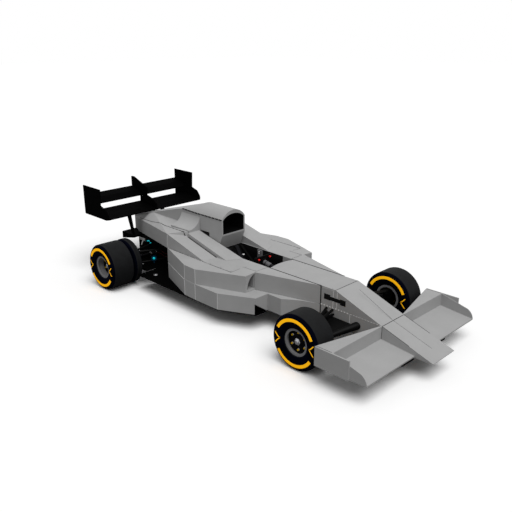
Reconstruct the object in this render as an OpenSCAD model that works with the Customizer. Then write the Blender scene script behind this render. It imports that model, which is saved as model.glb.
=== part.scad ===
// Single-seat open wheel racing car with flat-panelled bodywork.
// +X points to the nose, +Y to the driver's left, +Z up; the origin is on the ground,
// under the middle of the car's length and width. All sizes are in millimetres.

/* [Overall] */
// Distance between the front and rear axles
wheelbase = 2800; // [2300:10:3400]
// Nose tip ahead of the front axle
front_overhang = 974; // [900:1:1100]
// Rear wing's trailing edge behind the rear axle
rear_overhang = 766; // [700:1:900]
// Underside of the bodywork above the ground
belly_z = 186; // [160:1:220]
// Seam between the lower sides and the upper bodywork
waist_z = 361; // [330:1:380]
// Flat deck around the cockpit
deck_z = 547; // [480:1:660]

/* [Chassis] */
// Half width of the nose and of the strip on top of the chassis
nose_half = 175; // [140:1:200]
// Half width of the chassis beside the cockpit
tub_half = 365; // [320:1:440]
// Thickness of a body panel
panel_t = 12; // [6:1:14]
// Thickness of the chassis floor and walls
tub_wall = 25; // [15:1:40]
// Half width of the cockpit
cockpit_half = 178; // [160:1:190]
// Width of the gap between two body panels
seam = 3; // [2:0.5:5]
// Thickness of the floor plank
plank_t = 10; // [6:1:16]

/* [Sidepods] */
// Half width of the bodywork at its widest
pod_half = 708; // [600:1:740]
// Fall of the sidepod top from the chassis to its outer edge
pod_fall = 22; // [0:1:40]
// Width of the radiator inlet beside the chassis
inlet_w = 122; // [80:1:130]

/* [Engine cover] */
// Half width of the air intake
intake_half = 171; // [140:1:180]
// Lower lip of the air intake
intake_low_z = 713; // [690:1:740]
// Edge between the intake's side and its roof
intake_edge_z = 893; // [860:1:930]
// Top of the intake's roof
intake_top_z = 985; // [940:1:1040]
// Radius of the hollow where the intake's side meets the rear deck
cove_r = 163; // [120:1:175]
// Shoulder of the rear deck at its widest
shoulder_z = 701; // [660:1:720]

/* [Front wing] */
// Half width of the front wing over its outer plates
wing_half = 884; // [850:1:930]
// Thickness of the wing's outer plates
plate_t = 14; // [8:1:20]
// Thickness of the wing planes
plane_t = 12; // [8:1:18]

/* [Rear wing] */
// Half width of the rear wing over its endplates
rear_wing_half = 706; // [600:1:760]
// Top of the rear wing's endplates
rear_wing_top = 1058; // [1000:1:1100]
// Underside of the rear wing's endplates
rear_wing_low = 702; // [680:1:720]
// Thickness of an endplate
endplate_t = 12; // [6:1:18]

/* [Wheels] */
// Radius of every tyre
tyre_r = 265; // [255:1:275]
// Radius of the rim under the tyre's bead
rim_r = 131; // [120:1:150]
// Middle of the front tyre from the centre line
front_track_half = 702; // [690:1:715]
// Width of a front tyre
front_tyre_w = 256; // [200:2:270]
// Outer face of the rear outer tyre from the centre line
rear_outer_half = 1005; // [990:1:1060]
// Width of the smooth outer rear tyre
rear_outer_w = 298; // [260:2:300]
// Width of the ribbed inner rear tyre
rear_inner_w = 114; // [100:2:120]
// Radius of the stub axles
stub_r = 25; // [20:1:32]
// Running clearance of a wheel on its stub axle
bearing_gap = 0.4; // [0.3:0.1:0.6]
// Gap between two fixed panels that rest against each other
fit = 0.3; // [0.1:0.1:0.5]

/* [Steering and suspension] */
// Distance of the steering axis from the centre line
kingpin_y = 640; // [630:1:650]
// Distance of the steering rack behind the front axle
rack_back = 84; // [78:1:86]
// Height of the steering rack above the axle
rack_up = 35; // [28:1:40]
// Radius of the pins the front knuckles turn on
kingpin_r = 9; // [7:1:10]
// Radius of the steering rack
rack_r = 11; // [8:1:13]
// Radius of a lower front leg where it meets the nose
front_leg_r = 38; // [26:1:40]
// Radius of a lower front leg beside the wheel
front_leg_end_r = 18; // [12:1:20]
// Radius of the other suspension tubes
tube_r = 13; // [9:1:15]

/* [Hidden] */
$fn = 96;

front_axle_x = (wheelbase + rear_overhang - front_overhang) / 2;
rear_axle_x = front_axle_x - wheelbase;
axle_z = tyre_r;

// a station measured backwards from the front axle, and one from the rear axle
function fs(d) = front_axle_x - d;
function rs(d) = rear_axle_x - d;

// stations of the bodywork, behind the front axle
scuttle_kink = 72;
nose_kink = -451;
nose_split = 242;
cockpit_front = 934;
pod_front = 930;
widest_front = 1126;
widest_pod = 1466;
mouth_back = 1638;
cockpit_rear = 1706;
// stations of the bodywork from the rear axle; a minus sign is ahead of it
pod_shoulder = -1155;
body_rear = -620;
airbox_rear = -472;
ridge_rear = -723;
strip_rear = -795;
tail_bend = 435;
tail_end = 625;

tail_half = 83;
tail_bend_half = 95;
tail_low = 394;
tail_high = 568;
spine_tail_z = 596;
shoulder_half = 507;
cover_low_z = 533;
strip_half = 350;
kink_z = waist_z;
tip_z = 189;
tub_rear = 1850;
tub_flare = 7;
// the step in each side behind the front wheel, and the bend ahead of it
flare_bend = 430;
flare_bend_half = 258;
step_front = 584;
step_rear = 763;
step_half = 530;
pod_front_half = 505;
engine_rear = -460;
engine_top = 487;
gearbox_half = 88;
upright_y = 521;
beam_front = 350;
beam_rear = 605;
beam_front_top = 408;
beam_rear_top = 419;
beam_front_low = 386;
beam_rear_low = 331;
black = "#111111";
grey = "#9a9a9a";

// both halves of a point list that is given for the car's left
function mirrored(points) = concat(points, [for (p = points) [p[0], -p[1], p[2]]]);
// a closed outline from its left half, listed from the nose to the tail
function outline(half) =
  concat(half, [for (i = [len(half) - 1:-1:0]) [half[i][0], -half[i][1]]]);

// the flat-faced solid that just encloses a list of points
module solid_through(points) {
  hull() polyhedron(points, [[for (i = [0:len(points) - 1]) i]]);
}

// an outline in plan, raised from one height to another
module plan(points, low, high) {
  translate([0, 0, low]) linear_extrude(high - low) polygon(points);
}

// an outline seen from the side, given as [x, z], spread from one y to another
module profile(points, y_from, y_to) {
  translate([0, y_to, 0]) rotate([90, 0, 0]) linear_extrude(y_to - y_from) polygon(points);
}

// side is 1 for the car's left and -1 for its right
module on_side(side) {
  if (side > 0) children();
  else mirror([0, 1, 0]) children();
}

module both_sides() {
  for (side = [1, -1]) on_side(side) children();
}

// a straight round bar between two points, with its radius at each
module bar(a, b, r_a, r_b) {
  d = b - a;
  length = norm(d);
  translate(a) rotate([0, acos(d[2] / length), atan2(d[1], d[0])])
    cylinder(r1 = r_a, r2 = r_b, h = length);
}

// ---- chassis ----

tub_half_plan = [[fs(nose_split), nose_half + seam], [fs(pod_front - 1), tub_half + tub_flare],
  [fs(pod_front), tub_half], [fs(tub_rear), tub_half]];
// the steering wheel's centre, its column leaning forwards and down from it
wheel_at = [fs(1190), 0, deck_z - 42];
column_lean = 78;
column_r = 25;
column_l = 330;
dash_t = 30;
footwell_half = nose_half - tub_wall;
footwell_mouth_z = waist_z - 36;

module tub() {
  color(grey) difference() {
    plan(outline(tub_half_plan), belly_z, deck_z);
    // cockpit, open at the top
    plan(outline([[fs(cockpit_front), cockpit_half], [fs(cockpit_rear), cockpit_half]]),
      belly_z + tub_wall, deck_z + 1);
    // footwell under its panel, reached through the way under the dash
    plan(outline([[fs(nose_split + tub_wall), footwell_half],
      [fs(cockpit_front - dash_t), footwell_half]]), belly_z + tub_wall, deck_z + 1);
    plan(outline([[fs(cockpit_front - dash_t - 1), footwell_half],
      [fs(cockpit_front + 1), footwell_half]]), belly_z + tub_wall, footwell_mouth_z);
    // the column's bearing through the dash
    translate(wheel_at) rotate([0, -column_lean, 0]) translate([0, 0, -column_l - 5])
      cylinder(r = column_r + bearing_gap, h = 5 * dash_t);
    // ledges for the panel that covers the footwell
    plan(outline([[fs(nose_split - 1), nose_half], [fs(cockpit_front + 1), nose_half]]),
      deck_z - panel_t, deck_z + 1);
  }
}

module scuttle_panel() {
  sag = 30;
  half = nose_half - seam;
  arc_r = (half * half + sag * sag) / (2 * sag);
  color(grey) translate([0, 0, deck_z - panel_t]) linear_extrude(panel_t) difference() {
    polygon(outline([[fs(scuttle_kink), half], [fs(cockpit_front + sag), half]]));
    translate([fs(cockpit_front + arc_r + sag) + sag, 0]) difference() {
      translate([0, -half - 1]) square([arc_r + sag, 2 * half + 2]);
      translate([arc_r * 2, 0]) circle(arc_r);
    }
  }
}

// bearing of the steering rack across the nose
module rack_bearing() {
  translate([fs(rack_back), 0, axle_z + rack_up]) rotate([90, 0, 0])
    cylinder(r = rack_r + bearing_gap, h = 2 * nose_half + 2, center = true);
}

module nose_cone() {
  slot_low = 420;
  slot_depth = 35;
  color(grey) difference() {
    profile([[fs(nose_split - seam), waist_z], [fs(nose_split - seam), deck_z - panel_t],
      [fs(scuttle_kink), deck_z - panel_t], [fs(scuttle_kink - 1), deck_z],
      [fs(nose_kink), kink_z]], -nose_half, nose_half);
    rack_bearing();
    // dumbbell slots in both sides, where the upper arms may be reached
    both_sides() translate([0, nose_half - slot_depth, 0]) {
      translate([fs(12), 0, slot_low]) cube([60, slot_depth + 1, 52]);
      translate([fs(133), 0, slot_low + 14]) cube([122, slot_depth + 1, 30]);
      translate([fs(202), 0, slot_low + 8]) cube([70, slot_depth + 1, 52]);
    }
  }
}

module nose_keel() {
  color(grey) difference() {
    plan(outline([[fs(nose_kink), nose_half], [fs(nose_split - seam), nose_half]]),
      belly_z, waist_z);
    rack_bearing();
  }
}

tip_edge = 6;
// underside of the nose tip at a station behind the front axle
function tip_under(d) = tip_z - tip_edge
  + (belly_z - tip_z + tip_edge) * (d + front_overhang) / (nose_kink + front_overhang);

module nose_tip() {
  color(grey) profile([[fs(nose_kink - fit), kink_z - 1], [fs(-front_overhang), tip_z],
    [fs(-front_overhang), tip_z - tip_edge], [fs(nose_kink - fit), belly_z]],
    -nose_half, nose_half);
}

module floor() {
  inset = 20;
  wheel_room = 40;
  tail_floor_half = 440;
  floor_rear = 360;
  floor_rear_half = 300;
  color(black) plan(outline([[fs(nose_split), nose_half], [fs(step_front), tub_half - inset],
    [fs(step_rear), tub_half - inset], [fs(step_rear), step_half],
    [fs(widest_front), pod_half + 4], [rs(-tyre_r - wheel_room), pod_half + 4],
    [rs(-tyre_r - wheel_room), tail_floor_half], [rs(tyre_r), tail_floor_half],
    [rs(floor_rear), floor_rear_half]]), belly_z - plank_t, belly_z);
}

// ---- sides ----

module lower_side(side) {
  front_low = 112;
  mouth_l = 150;
  color(grey) on_side(side) difference() {
    plan([[fs(nose_split), nose_half + seam], [fs(flare_bend), flare_bend_half],
      [fs(step_front), tub_half - 3], [fs(step_rear), tub_half - 3],
      [fs(step_rear), step_half], [fs(widest_front), pod_half + 4],
      [fs(widest_pod), pod_half + 4], [rs(pod_shoulder), pod_half - 3],
      [rs(body_rear), shoulder_half + 3], [rs(body_rear), tub_half], [fs(tub_rear), tub_half],
      [fs(pod_front), tub_half], [fs(pod_front - 1), tub_half + tub_flare]], belly_z, waist_z);
    // open mouth under the front of the step, its lip rising outwards
    translate([fs(step_rear) - mouth_l, 0, 0]) rotate([90, 0, 90]) linear_extrude(mouth_l + 1)
      polygon([[tub_half + 14, belly_z - 1], [tub_half + 14, belly_z + 2],
        [step_half + 5, belly_z + front_low], [step_half + 5, belly_z - 1]]);
  }
}

pod_plan = [[fs(pod_front), tub_half], [fs(pod_front), pod_front_half], [fs(widest_pod), pod_half],
  [rs(pod_shoulder), pod_half - 6], [rs(body_rear), shoulder_half + 3], [rs(body_rear), tub_half]];
pod_wall = 14;

// everything below the deck and the falling tops of the sidepods, raised by lift
module below_deck(lift) {
  top = deck_z + lift;
  translate([rs(body_rear), 0, 0]) rotate([90, 0, 90]) linear_extrude(wheelbase)
    polygon([[-1, 0], [-1, top], [tub_half, top], [pod_half, top - pod_fall], [pod_half + 9, 0]]);
}

module sidepod(side) {
  color(grey) on_side(side) difference() {
    intersection() {
      plan(pod_plan, waist_z, deck_z + 1);
      below_deck(0);
    }
    // hollow inside the walls, with the inlet beside the chassis
    intersection() {
      translate([0, 0, waist_z + pod_wall]) linear_extrude(deck_z - waist_z)
        offset(delta = -pod_wall) polygon(pod_plan);
      below_deck(-pod_wall);
    }
    translate([fs(pod_front + pod_wall + 4), tub_half, waist_z]) intersection() {
      scale([1, inlet_w / (deck_z - waist_z - panel_t), 1]) rotate([0, 90, 0])
        cylinder(r = deck_z - waist_z - panel_t, h = pod_wall + 8);
      translate([-1, pod_wall - 4, pod_wall]) cube([pod_wall + 12, 300, 300]);
    }
  }
}

module radiators() {
  core_t = 45;
  core_w = inlet_w + 12;
  color(black) both_sides()
    translate([fs(pod_front + 190), tub_half + pod_wall, waist_z + pod_wall])
      cube([core_t, core_w, deck_z - waist_z - 3 * pod_wall - 8]);
}

// ---- cockpit ----

module cockpit_side(side) {
  rise = 163;
  inner = cockpit_half + 8;
  color(grey) on_side(side) solid_through([
    [fs(1300), inner, deck_z + 3], [fs(1388), strip_half, deck_z + 3],
    [fs(1300), inner, deck_z], [fs(1388), strip_half, deck_z],
    [rs(strip_rear), inner, deck_z + rise], [rs(strip_rear), strip_half, deck_z + rise],
    [rs(strip_rear), inner, deck_z], [rs(strip_rear), strip_half, deck_z]]);
}

module headrest() {
  color(grey) solid_through(mirrored([
    [fs(mouth_back), intake_half, intake_low_z], [fs(cockpit_rear), intake_half, deck_z + 104],
    [fs(cockpit_rear), intake_half, deck_z + 1], [fs(cockpit_rear + 36), 80, deck_z + 23],
    [fs(cockpit_rear + 36), 80, deck_z + 1], [fs(tub_rear), intake_half, intake_low_z],
    [fs(tub_rear), intake_half, deck_z + 1]]));
}

module seat() {
  half = 150;
  wing = 28;
  base = belly_z + tub_wall;
  shell = [[fs(1130), base], [fs(1130), base + 60], [fs(1250), base + 44], [fs(1420), base + 52],
    [fs(1560), base + 170], [fs(1680), base + 330], [fs(1700), base + 330], [fs(1700), base]];
  bolster = [[fs(1150), base], [fs(1150), base + 110], [fs(1420), base + 150],
    [fs(1560), base + 250], [fs(1660), base + 330], [fs(1700), base + 330], [fs(1700), base]];
  color(black) {
    profile(shell, -half, half);
    for (y = [-half, half - wing]) profile(bolster, y, y + wing);
  }
}

module steering_wheel() {
  grip_r = 15;
  grip_y = 115;
  grip_l = 140;
  plate = 16;
  window = [90, 40];
  window_y = 75;
  color("#222222") translate(wheel_at) rotate([0, -column_lean, 0]) {
    difference() {
      translate([-grip_l / 2, -grip_y, -plate / 2]) cube([grip_l, 2 * grip_y, plate]);
      for (y = [-1, 1])
        translate([-window[0] / 2, y * window_y - window[1] / 2, -plate / 2 - 1])
        cube([window[0], window[1], plate + 2]);
    }
    for (y = [-1, 1]) translate([-grip_l / 2, y * grip_y, 0]) rotate([0, 90, 0])
      cylinder(r = grip_r, h = grip_l);
    translate([0, 0, -column_l]) cylinder(r = column_r, h = column_l - 5);
  }
}

// ---- engine cover ----

module airbox() {
  wall = 16;
  low_inner = intake_low_z + wall;
  half = intake_half - wall;
  rise = intake_top_z - intake_edge_z;
  arch_r = (intake_half * intake_half + rise * rise) / (2 * rise);
  steps = 6;
  edge = asin(intake_half / arch_r);
  arch = [for (i = [-steps:steps]) [arch_r * sin(edge * i / steps),
    intake_top_z - arch_r + arch_r * cos(edge * i / steps)]];
  throat = [for (p = arch) [p[0] * half / intake_half,
    intake_edge_z - 6 + (p[1] - intake_edge_z) * (rise - 34) / rise]];
  color(grey) difference() {
    solid_through(concat(
      [for (p = arch, x = [fs(mouth_back), rs(ridge_rear)]) [x, p[0], p[1]]],
      mirrored([[fs(mouth_back), intake_half, intake_low_z],
        [rs(airbox_rear), intake_half - 5, intake_edge_z + 5],
        [rs(airbox_rear), intake_half - 5, intake_low_z]])));
    translate([fs(mouth_back + 420), 0, 0]) rotate([90, 0, 90]) linear_extrude(421)
      polygon(concat(throat, [[half, low_inner], [-half, low_inner]]));
  }
}

module engine_cover() {
  cove_z = intake_edge_z + 5;
  foot_z = cove_z - cove_r;
  cove_y = intake_half + cove_r - 3;
  color(grey) difference() {
    union() {
      // rear deck down to the narrow tail
      solid_through(mirrored([
        [rs(body_rear), shoulder_half, shoulder_z], [rs(body_rear), shoulder_half, cover_low_z],
        [rs(body_rear), strip_half, shoulder_z + 14], [rs(strip_rear), intake_half, foot_z - 6],
        [rs(strip_rear), cove_y - 20, foot_z - 8], [rs(strip_rear), strip_half, cover_low_z],
        [rs(-375), intake_half - 12, foot_z - 5], [rs(160), 118, foot_z - 17],
        [rs(tail_bend), tail_bend_half, tail_high], [rs(tail_bend), tail_bend_half, tail_low],
        [rs(tail_end), tail_half, tail_high], [rs(tail_end), tail_half, tail_low]]));
      // spine behind the intake
      solid_through(mirrored([
        [rs(airbox_rear + seam), intake_half - 5, cove_z],
        [rs(airbox_rear + seam), intake_half - 5, cover_low_z],
        [rs(tail_end), tail_half, spine_tail_z], [rs(tail_end), tail_half, tail_high - 20]]));
      // shoulders beside the cockpit sides
      both_sides() solid_through([
        [fs(1478), strip_half + seam, deck_z - 11], [fs(1545), shoulder_half + 8, deck_z - 11],
        [rs(body_rear), strip_half + seam, shoulder_z + 14],
        [rs(body_rear), shoulder_half, shoulder_z],
        [rs(body_rear), strip_half + seam, deck_z - 30],
        [rs(body_rear), shoulder_half, deck_z - 30]]);
      // blocks that carry the hollow beside the intake
      both_sides() translate([rs(airbox_rear), intake_half + 1, cover_low_z])
        cube([airbox_rear - strip_rear, cove_r - 2, cove_z - cover_low_z - 2]);
    }
    both_sides() translate([rs(airbox_rear) - 1, cove_y, cove_z])
      rotate([0, 90, 0]) cylinder(r = cove_r, h = airbox_rear - strip_rear + 2);
    // room for the intake, for the deck under it and for the wing across the tail
    translate([rs(airbox_rear) - fit, -intake_half - fit, intake_low_z - fit])
      cube([airbox_rear - strip_rear + 1, 2 * (intake_half + fit), intake_top_z]);
    both_sides() below_deck(fit);
    profile([[rs(beam_front - 1), 0], [rs(beam_front - 1), beam_front_top + 1],
      [rs(beam_rear + 1), beam_rear_top + 1], [rs(beam_rear + 1), 0]],
      -shoulder_half, shoulder_half);
  }
}

// ---- engine and gearbox ----

module engine() {
  half = 230;
  color("#2a2a2c") translate([rs(engine_rear), -half, belly_z])
    cube([fs(tub_rear) - rs(engine_rear), 2 * half, engine_top - belly_z]);
}

// socket for a jack in the gearbox's rear face
jack_r = 20;
jack_depth = 60;
jack_z = 298;
gearbox_rear = 560;

module gearbox() {
  color("#1b1b1d") difference() {
    profile([[rs(engine_rear), belly_z], [rs(engine_rear), engine_top - 10], [rs(60), 400],
      [rs(beam_front), beam_low(beam_front)], [rs(gearbox_rear), beam_low(gearbox_rear)],
      [rs(gearbox_rear), 255], [rs(300), 225], [rs(60), belly_z]], -gearbox_half, gearbox_half);
    translate([rs(gearbox_rear) - 1, 0, jack_z]) rotate([0, 90, 0])
      cylinder(r = jack_r, h = jack_depth + 1);
  }
}

// the beam's top and its seat on the gearbox, at a station behind the rear axle
function beam_high(d) = beam_front_top
  + (beam_rear_top - beam_front_top) * (d - beam_front) / (beam_rear - beam_front);
function beam_low(d) = beam_front_low - fit
  + (beam_rear_low - beam_front_low) * (d - beam_front) / (beam_rear - beam_front);

module beam_wing() {
  half = 300;
  color(black) profile([[rs(beam_front), beam_front_low], [rs(beam_rear), beam_rear_low],
    [rs(beam_rear), beam_rear_top], [rs(beam_front), beam_front_top]], -half, half);
}

// ---- front wing ----

wing_front = -796;
wing_rear = -454;
wing_front_z = 201;
wing_rear_z = 238;
inner_plate = wing_half - plate_t;
// the wing ends ahead of the front tyre
plate_rear = -(tyre_r + 11);

module front_wing(side) {
  root = nose_half + fit;
  tip = inner_plate - 8;
  color(grey) on_side(side) {
    profile([[fs(wing_front), wing_front_z], [fs(wing_rear), wing_rear_z],
      [fs(wing_rear), waist_z], [fs(wing_rear + plane_t), waist_z],
      [fs(wing_rear + plane_t), wing_rear_z - plane_t],
      [fs(wing_front), wing_front_z - plane_t]], root, tip);
    plan([[fs(wing_rear + plane_t), root], [fs(wing_rear + plane_t), tip],
      [fs(plate_rear), tip]], waist_z - plane_t, waist_z);
  }
}

module front_wing_plates() {
  nose_r = 105;
  low = belly_z + 3;
  color(grey) both_sides() {
    // plate inside the outer one, its top edge running down to a rounded front
    translate([0, inner_plate, 0]) rotate([90, 0, 0]) linear_extrude(7.5) intersection() {
      polygon([[fs(wing_rear + plane_t), low], [fs(wing_rear + plane_t), waist_z],
        [fs(wing_rear), waist_z], [fs(-740), 283], [fs(wing_front), 250], [fs(wing_front), low]]);
      union() {
        translate([fs(wing_front + nose_r), low]) circle(nose_r);
        translate([fs(wing_front + nose_r) - 400, low]) square([400, 300]);
      }
    }
    profile([[fs(plate_rear), belly_z - 2], [fs(plate_rear), waist_z], [fs(-628), waist_z],
      [fs(-628), belly_z - 2]], inner_plate, wing_half);
  }
}

module front_splitter() {
  front = -780;
  rear = -600;
  half = 300;
  color(black) profile([[fs(front), tip_under(front) - fit], [fs(rear), tip_under(rear) - fit],
    [fs(rear), tip_under(rear) - plank_t], [fs(front), tip_under(front) - plank_t]], -half, half);
}

// ---- rear wing ----

// tops of the two wing planes, from the front edge to the rear one
low_plane = [[245, 720], [365, 742], [590, 770]];
high_plane = [[530, 862], [640, 908], [764, 938]];
function stations(points, lift) = [for (p = points) [rs(p[0]), p[1] + lift]];

module rear_wing_planes() {
  half = rear_wing_half - endplate_t - 0.5;
  color(black) {
    profile(concat(stations(low_plane, 0), [[rs(590), 764], [rs(365), 716], [rs(245), 712]]),
      -half, half);
    profile(concat(stations(high_plane, 0), [[rs(764), 931], [rs(640), 884], [rs(530), 852]]),
      -half, half);
  }
}

endplate_outline = [[rs(rear_overhang), rear_wing_low + 10], [rs(rear_overhang), rear_wing_top],
  [rs(394), rear_wing_top], [rs(404), 862], [rs(300), 830], [rs(250), 770], [rs(242), 740],
  [rs(248), 712], [rs(300), rear_wing_low], [rs(rear_overhang - 10), rear_wing_low]];

module rear_wing_endplates() {
  color(black) both_sides()
    profile(endplate_outline, rear_wing_half - endplate_t, rear_wing_half);
}

module rear_wing_fin() {
  t = 6;
  color(black) profile(concat([[rs(rear_overhang), 946], [rs(rear_overhang), 1062],
    [rs(712), 1066], [rs(430), 965], [rs(446), 869], [rs(320), 836], [rs(252), 790]],
    stations(low_plane, fit), [[rs(590), 846], [rs(524), 846]], stations(high_plane, fit)), -t, t);
}

module rear_wing_pylons() {
  front = 392;
  rear = 448;
  // the lower plane's underside
  function under(d) = 716 + 48 * (d - 365) / 225 - fit;
  color(black) both_sides()
    profile([[rs(front), beam_high(front) + fit], [rs(rear), beam_high(rear) + fit],
      [rs(578), under(578)], [rs(470), under(470)]], 252, 262);
}

// ---- suspension and steering ----

knuckle_half_z = 62;
// outer ends of the stub axles
front_stub_end = front_track_half + 60;
rear_stub_end = 900;
knuckle_in = kingpin_y - 52;
arm_end_gap = 2;

// the part of a leg between two planes across the car
module leg(a, b, r_a, r_b, y_from, y_to) {
  over = 0.12;
  intersection() {
    bar(a + (a - b) * over, b + (b - a) * over, r_a + (r_a - r_b) * over,
      r_b - (r_a - r_b) * over);
    translate([a[0] - 500, y_from, 0]) cube([1000, y_to - y_from, 600]);
  }
}

module front_arms(side) {
  root = nose_half + fit;
  arm_y = kingpin_y - 70;
  block = [34, 100, 22];
  pin_l = 28;
  web_t = 12;
  web_drop = 10;
  web_share = 0.7;
  low_front = [fs(-186), root, 274];
  low_rear = [fs(165), root, 281];
  low_front_end = [fs(-8), arm_y, axle_z - 80];
  low_rear_end = [fs(6), arm_y, axle_z - 78];
  color(black) on_side(side) {
    leg(low_front, low_front_end, front_leg_r, front_leg_end_r, root, arm_y);
    leg(low_rear, low_rear_end, front_leg_r - 3, tube_r, root, arm_y);
    // web between the two lower legs
    solid_through([for (p = [low_front, low_rear,
        low_front + (low_front_end - low_front) * web_share,
        low_rear + (low_rear_end - low_rear) * web_share], lift = [-web_t / 2, web_t / 2])
      p + [0, 0, lift - web_drop]]);
    leg([fs(168), root, 340], [fs(6), arm_y, axle_z + 77], tube_r, tube_r, root, arm_y);
    leg([fs(96), root, 344], [fs(-6), arm_y, axle_z + 77], tube_r, tube_r, root, arm_y);
    // end blocks above and below the knuckle, each with its pin
    for (up = [1, -1]) translate([fs(0), kingpin_y, axle_z]) {
      translate([-block[0] / 2, -block[1] + block[0] / 2,
        up > 0 ? knuckle_half_z + arm_end_gap : -knuckle_half_z - arm_end_gap - block[2]])
        cube(block);
      translate([0, 0, up > 0 ? knuckle_half_z - pin_l : -knuckle_half_z - arm_end_gap - 1])
        cylinder(r = kingpin_r, h = pin_l + arm_end_gap + 1);
    }
  }
}

module front_knuckle(side) {
  block = [90, 70, 2 * knuckle_half_z];
  arm_w = 22;
  arm_h = 18;
  color("#26262a") on_side(side) difference() {
    union() {
      translate([fs(0) - block[0] / 2, knuckle_in, axle_z - knuckle_half_z]) cube(block);
      translate([fs(0), knuckle_in + block[1] - 1, axle_z]) rotate([-90, 0, 0])
        cylinder(r = stub_r, h = front_stub_end - knuckle_in - block[1] + 1);
      // steering arm
      translate([fs(rack_back + 4), knuckle_in + 8, axle_z + rack_up - arm_h / 2])
        cube([rack_back + 4 - block[0] / 2 + 1, arm_w, arm_h]);
    }
    translate([fs(0), kingpin_y, axle_z - knuckle_half_z - 1])
      cylinder(r = kingpin_r + fit, h = block[2] + 2);
  }
}

module steering_rack() {
  reach = knuckle_in - 22;
  color("#555558") translate([fs(rack_back), 0, axle_z + rack_up]) rotate([90, 0, 0])
    cylinder(r = rack_r, h = 2 * reach, center = true);
}

module rear_arms() {
  root = gearbox_half + fit;
  end = upright_y - fit;
  color(black) both_sides()
    for (spec = [[-190, 330, 345], [150, 330, 345], [-190, 215, 205], [190, 215, 205]])
      leg([rs(spec[0]), root, spec[1]], [rs(spec[0] * 0.15), end, spec[2]], tube_r, tube_r,
        root, end);
}

module rear_uprights() {
  block = [90, 60, 190];
  color("#26262a") both_sides() {
    translate([rs(block[0] / 2), upright_y, axle_z - block[2] / 2]) cube(block);
    translate([rs(0), upright_y + block[1] - 1, axle_z]) rotate([-90, 0, 0])
      cylinder(r = stub_r, h = rear_stub_end - upright_y - block[1] + 1);
  }
}

module driveshafts() {
  shaft_r = 17;
  color("#3a3a3e") both_sides() translate([rs(0), gearbox_half, axle_z]) rotate([-90, 0, 0])
    cylinder(r = shaft_r, h = upright_y - gearbox_half);
}

// ---- wheels; each is drawn round the Z axis with its outer face up, then laid over ----

// a wheel part of the car's left, its outer face at y
module laid_over(x, y) {
  translate([x, y, axle_z]) rotate([-90, 0, 0]) children();
}

module tyre_ring(w) {
  shoulder = 34;
  bead = 10;
  rotate_extrude() union() {
    translate([rim_r + 0.3, -w + bead]) square([tyre_r - rim_r - 0.3 - shoulder, w - 2 * bead]);
    translate([rim_r + 0.3 + bead, -w]) square([tyre_r - rim_r - 0.3 - bead - shoulder, w]);
    translate([tyre_r - shoulder - 1, -w + shoulder]) square([shoulder + 1, w - 2 * shoulder]);
    for (y = [-w + shoulder, -shoulder]) translate([tyre_r - shoulder, y]) circle(shoulder);
    for (y = [-w + bead, -bead]) translate([rim_r + 0.3 + bead, y]) circle(bead);
  }
}

// rim with its outer lip at height 0; the disc carries the hub
module rim(depth, disc_top) {
  well = 11;
  lip = 23;
  nut_r = 40;
  difference() {
    union() {
      rotate_extrude() {
        translate([rim_r - well, -depth]) square([well, depth - 4]);
        translate([rim_r - lip, -14]) square([lip, 10]);
        translate([rim_r - lip, -depth]) square([lip, 8]);
      }
      translate([0, 0, -disc_top - disc_t]) cylinder(r = rim_r - well + 1, h = disc_t);
      translate([0, 0, -disc_top - 1]) cylinder(r = nut_r, h = 30);
      for (a = [30:60:330]) rotate(a) translate([80, 0, -disc_top - 1]) cylinder(r = 9, h = 12);
    }
    translate([0, 0, -disc_top - disc_t - 1])
      cylinder(r = stub_r + bearing_gap, h = disc_t + 1 + 12);
    for (a = [0:60:300]) rotate(a) translate([78, 0, -disc_top - disc_t - 1])
      cylinder(r = 20, h = disc_t + 2);
  }
}

front_face = front_track_half + front_tyre_w / 2;
// the rim's lip inside the tyre's face, and the disc's thickness
lip_in = 26;
disc_t = 34;

module front_tyre(side) {
  color("#202022") on_side(side) laid_over(fs(0), front_face) tyre_ring(front_tyre_w);
}

module front_rim(side) {
  color("#8c8c8c") on_side(side) laid_over(fs(0), front_face - lip_in)
    rim(front_tyre_w - 46, front_face - lip_in - front_stub_end + 10);
}

module rear_tyres(side) {
  color("#202022") on_side(side) {
    laid_over(rs(0), rear_outer_half) tyre_ring(rear_outer_w);
    laid_over(rs(0), rear_outer_half - rear_outer_w - 2) tyre_ring(rear_inner_w);
  }
}

module rear_rims(side) {
  depth = rear_outer_w + rear_inner_w - 40;
  color("#8c8c8c") on_side(side) laid_over(rs(0), rear_outer_half - lip_in)
    rim(depth, rear_outer_half - lip_in - rear_stub_end + 10);
}

floor();
tub();
scuttle_panel();
nose_cone();
nose_keel();
nose_tip();
lower_side(-1);  // lower_side_right
lower_side(1);  // lower_side_left
sidepod(-1);  // sidepod_right
sidepod(1);  // sidepod_left
radiators();
cockpit_side(-1);  // cockpit_side_right
cockpit_side(1);  // cockpit_side_left
headrest();
airbox();
engine_cover();
engine();
gearbox();
beam_wing();
seat();
front_wing(-1);  // front_wing_right
front_wing(1);  // front_wing_left
front_wing_plates();
front_splitter();
rear_wing_planes();
rear_wing_endplates();
rear_wing_fin();
rear_wing_pylons();
front_arms(-1);  // front_arms_right
front_arms(1);  // front_arms_left
rear_arms();
rear_uprights();
driveshafts();
steering_rack();
steering_wheel();
front_knuckle(-1);  // front_knuckle_right
front_knuckle(1);  // front_knuckle_left
front_rim(-1);  // front_rim_right
front_rim(1);  // front_rim_left
front_tyre(-1);  // front_tyre_right
front_tyre(1);  // front_tyre_left
rear_rims(-1);  // rear_rims_right
rear_rims(1);  // rear_rims_left
rear_tyres(-1);  // rear_tyres_right
rear_tyres(1);  // rear_tyres_left
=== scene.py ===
import math

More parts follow.
